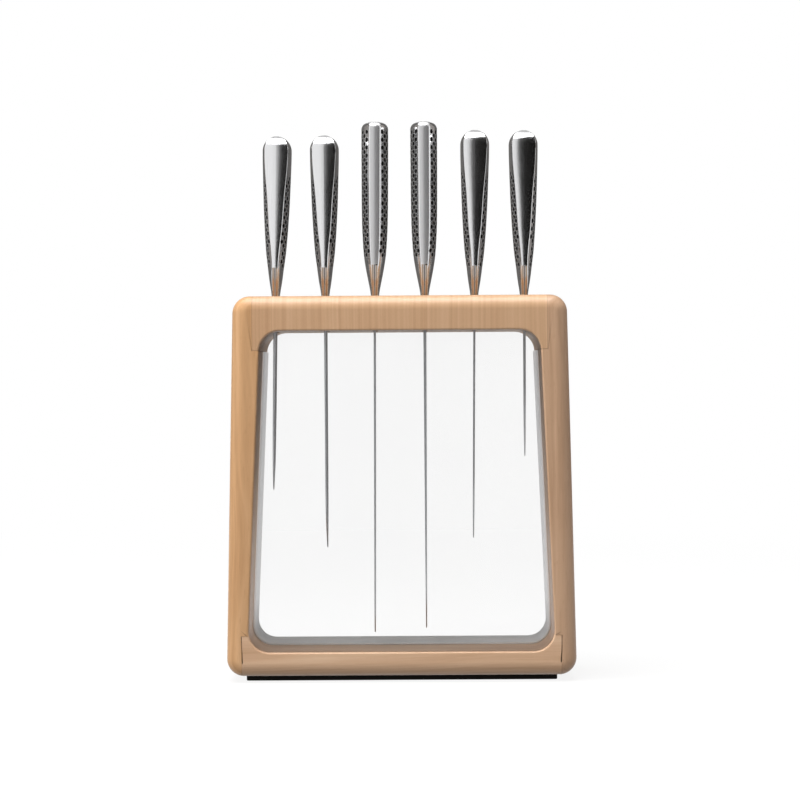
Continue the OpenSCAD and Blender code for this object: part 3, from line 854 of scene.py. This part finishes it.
    rings = np.concatenate([raised(front), flank, raised(back), raised(lining)], 1)
    painted = np.zeros(rings.shape[:2])
    columns = front.shape[1]
    painted[:, columns:columns + count] = paint
    # Painted shade on the straight strips, the seam line at the neck and the butt end, and a
    # painted reflection of the wood on the front strip at the neck
    painted[:, :columns] = STRAIGHT_STRIP if straight else 0
    painted[share < NECK_PAINTED_TO, :columns] = NECK_PAINTED_REFLECTION
    painted[share < NECK_PAINTED_TO, :2] = SEAM_PAINTED_SHADE
    painted[q > BUTT_SHOWS] = BUTT_PAINTED_SHADE
    return stand(rings * [side, 1, 1], k), painted


handle_steel = Finish("brushed_handle_steel", Specular_IOR_Level=0.15)
x, y, z = handle_steel.place()
brush = handle_steel.noise(handle_steel.vector(x * 5200.0, y * 2600.0, z * 60.0), 1.0, 3.0, 0.6)
smear = handle_steel.noise(handle_steel.vector(x, y, z), 45.0, 3.0)
# The paint attribute holds black paint in the dimples and painted shade above 0, and below 0 a
# painted reflection of the wood at the neck, mixed in as a straw tint
painted = handle_steel.node("ShaderNodeAttribute", {"attribute_name": "paint"}, {}, "Fac")
steel_tone = handle_steel.ramp(brush, (0.3, tone(222, 222, 223)), (0.7, tone(238, 238, 239)))
neck_reflection = handle_steel.between(painted, -1.0, 0.0, 1.0, 0.0)
painted = handle_steel.between(painted, 0.0, 1.0, 0.0, 1.0)
steel_tone = handle_steel.mix(neck_reflection, steel_tone, tone(158, 138, 120))
handle_steel.surface_from(
    Base_Color=handle_steel.mix(painted, steel_tone, tone(12, 11, 11)),
    Metallic=1.0 - painted,
    Roughness=0.13 + brush * 0.05 + smear * 0.04 + painted * 0.6,
    Normal=handle_steel.bump(brush, 0.03, 0.0001))
for k in KNIVES:
    for side, word in ((-1, "left"), (1, "right")):
        rings, paint = handle_rings(k, side)
        shell = carried(f"handle_{k}_{word}", rings, CREASE_SHARP, paint=paint)
        handle_steel.put_on(shell)
        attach(shell, f"knife_{k}")
        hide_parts(f"knife_{k}_{word}_shell")

# --------------------------------------------------------------------------------------- sand
# Dry sand sealed in each hollow handle balances it against the blade. It shows only where a
# handle is opened.
grit = Finish("dry_sand")
x, y, z = grit.place()
grains = grit.noise(grit.vector(x, y, z), 3200.0, 1.0)
grit.surface_from(
    Base_Color=grit.ramp(grains, (0.3, tone(150, 124, 84)), (0.5, tone(200, 176, 128)),
                         (0.7, tone(226, 208, 168))),
    Roughness=0.85 + grains * 0.1, Normal=grit.bump(grains, 0.8, 0.0005))
for k in KNIVES:
    grit.put_on(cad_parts[f"knife_{k}_sand"])

# ------------------------------------------------------------------------------------- studio
# A pale floor and a white surround, soft boxes above, at the left, low in front and behind,
# and grey flags that only reflections see. The camera stands low in front of the block.
scene = bpy.context.scene
scene.view_settings.view_transform = "Standard"
EYE = np.array([11.0, -1701.0, 202.8])
YAW, PITCH, ROLL = -0.0067, 0.00972, -0.0062
FOCAL_MM = 112.6215
SENSOR_MM = 36
forward = np.array([math.sin(YAW) * math.cos(PITCH), math.cos(YAW) * math.cos(PITCH),
                    -math.sin(PITCH)])
level = unit(np.cross(forward, [0, 0, 1]))
above = np.cross(level, forward)
right = level * math.cos(ROLL) + above * math.sin(ROLL)
up = above * math.cos(ROLL) - level * math.sin(ROLL)
lens = bpy.data.cameras.new("camera")
lens.sensor_width = SENSOR_MM
lens.lens = FOCAL_MM
lens.clip_start = 0.05
camera = bpy.data.objects.new("camera", lens)
scene.collection.objects.link(camera)
scene.camera = camera


def aimed(obj, place, target):
    """Puts an object at a place and turns its -Z axis to the target, both in metres."""
    way = unit(np.array(target, float) - np.array(place, float))
    side = unit(np.cross(way, [0, 0, 1]) if abs(way[2]) < 0.99 else np.array([1.0, 0, 0]))
    top = np.cross(side, way)
    obj.matrix_world = Matrix([[side[i], top[i], -way[i], place[i]] for i in range(3)]
                              + [[0, 0, 0, 1]])


camera.matrix_world = Matrix([[right[i], up[i], -forward[i], EYE[i] * MM] for i in range(3)]
                             + [[0, 0, 0, 1]])


def soft_box(name, place, target, width, height, watts):
    """A rectangular soft light."""
    lamp = bpy.data.lights.new(name, "AREA")
    lamp.shape = "RECTANGLE"
    lamp.size, lamp.size_y = width, height
    lamp.energy = watts
    box = bpy.data.objects.new(name, lamp)
    scene.collection.objects.link(box)
    box.visible_glossy = False
    aimed(box, place, target)
    return box


def sheet_of(name, x0, y0, x1, y1):
    """One flat face in the XY plane, in metres."""
    mesh = bpy.data.meshes.new(name)
    mesh.from_pydata([(x0, y0, 0), (x1, y0, 0), (x1, y1, 0), (x0, y1, 0)], [], [(0, 1, 2, 3)])
    made = bpy.data.objects.new(name, mesh)
    scene.collection.objects.link(made)
    return made


def card(name, place, target, width, height, colour):
    """A matt card that only reflections see."""
    made = sheet_of(name, -width / 2, -height / 2, width / 2, height / 2)
    aimed(made, place, target)
    finish = Finish(name, Base_Color=colour, Roughness=1.0, Specular_IOR_Level=0.0)
    finish.put_on(made)
    made.visible_camera = False
    made.visible_diffuse = False
    made.visible_shadow = False
    made.visible_transmission = False
    made.visible_volume_scatter = False


MIDDLE = (0, 0, 0.19)
HORIZON = (0, 0, 0.3)
soft_box("key", (-0.5, -1.0, 1.8), MIDDLE, 1.2, 1.0, 13)
soft_box("low_front", (0, -1.6, 0.12), (0, 0, 0.06), 1.8, 0.2, 3)
overhead = soft_box("overhead", (-0.2, -0.25, 2.0), MIDDLE, 1.4, 1.2, 36)
overhead.visible_glossy = True
soft_box("left", (-2.0, -0.75, 0.8), MIDDLE, 1.2, 1.3, 26)
soft_box("right_fill", (1.8, -0.9, 0.6), MIDDLE, 1.0, 1.4, 2.5)
soft_box("behind_right", (1.2, 1.6, 0.5), MIDDLE, 1.0, 1.0, 6)
soft_box("behind_left", (-1.2, 1.6, 0.5), MIDDLE, 1.0, 1.0, 8)
card("front_flag", (0.57, -1.28, 3.3), (0, 0, 3.3), 1.48, 8.0, tone(24, 23, 22))
card("left_flag", (-1.6, 0.3, 0.4), HORIZON, 1.7, 3.0, tone(165, 160, 156))
card("right_flag", (1.6, 0.65, 0.4), HORIZON, 1.3, 3.0, tone(165, 160, 156))
card("back_flag", (0, 1.3, 0.8), (0, 0, 0.8), 5.0, 3.0, tone(110, 108, 106))

# The floor is white to the camera and in reflections, with a faint shadow near the block
floor = sheet_of("floor", -30, -10, 30, 60)
ground = Finish("pale_floor", Roughness=0.9)
seen = ground.node("ShaderNodeLightPath", {}, {}, "Is Camera Ray")
mirrored = ground.node("ShaderNodeLightPath", {}, {}, "Is Glossy Ray")
passed = ground.node("ShaderNodeLightPath", {}, {}, "Is Transmission Ray")
ground.surface_from(Base_Color=ground.mix(seen, tone(105, 105, 105), tone(250, 250, 250)))
x, y, z = ground.place()
far = ground.between((x * x + y * y) ** 0.5, 0.4, 1.6, 0.86, 1.0)
glow = ground.node("ShaderNodeEmission", {}, {"Color": (1, 1, 1, 1), "Strength": 1.0})
lit = Wire(ground, ground.surface.outputs[0])
both = ground.node("ShaderNodeMixShader", {},
                   {0: (seen + mirrored + passed) * far, 1: lit, 2: glow})
ground.tree.links.new(both.socket, ground.tree.nodes["Material Output"].inputs[0])
ground.put_on(floor)

# The surround lights the scene softly and is white to the camera and in reflections
SURROUND = 0.24
world = bpy.data.worlds.new("studio")
world.use_nodes = True
scene.world = world
sky = world.node_tree
path = sky.nodes.new("ShaderNodeLightPath")
total = path.outputs["Is Camera Ray"]
for ray in ("Is Glossy Ray", "Is Transmission Ray"):
    more = sky.nodes.new("ShaderNodeMath")
    more.operation = "ADD"
    sky.links.new(total, more.inputs[0])
    sky.links.new(path.outputs[ray], more.inputs[1])
    total = more.outputs[0]
strength = sky.nodes.new("ShaderNodeMapRange")
strength.inputs[3].default_value = SURROUND
strength.inputs[4].default_value = 1.0
sky.links.new(total, strength.inputs[0])
background = sky.nodes["Background"]
background.inputs[0].default_value = (1, 1, 1, 1)
sky.links.new(strength.outputs[0], background.inputs[1])
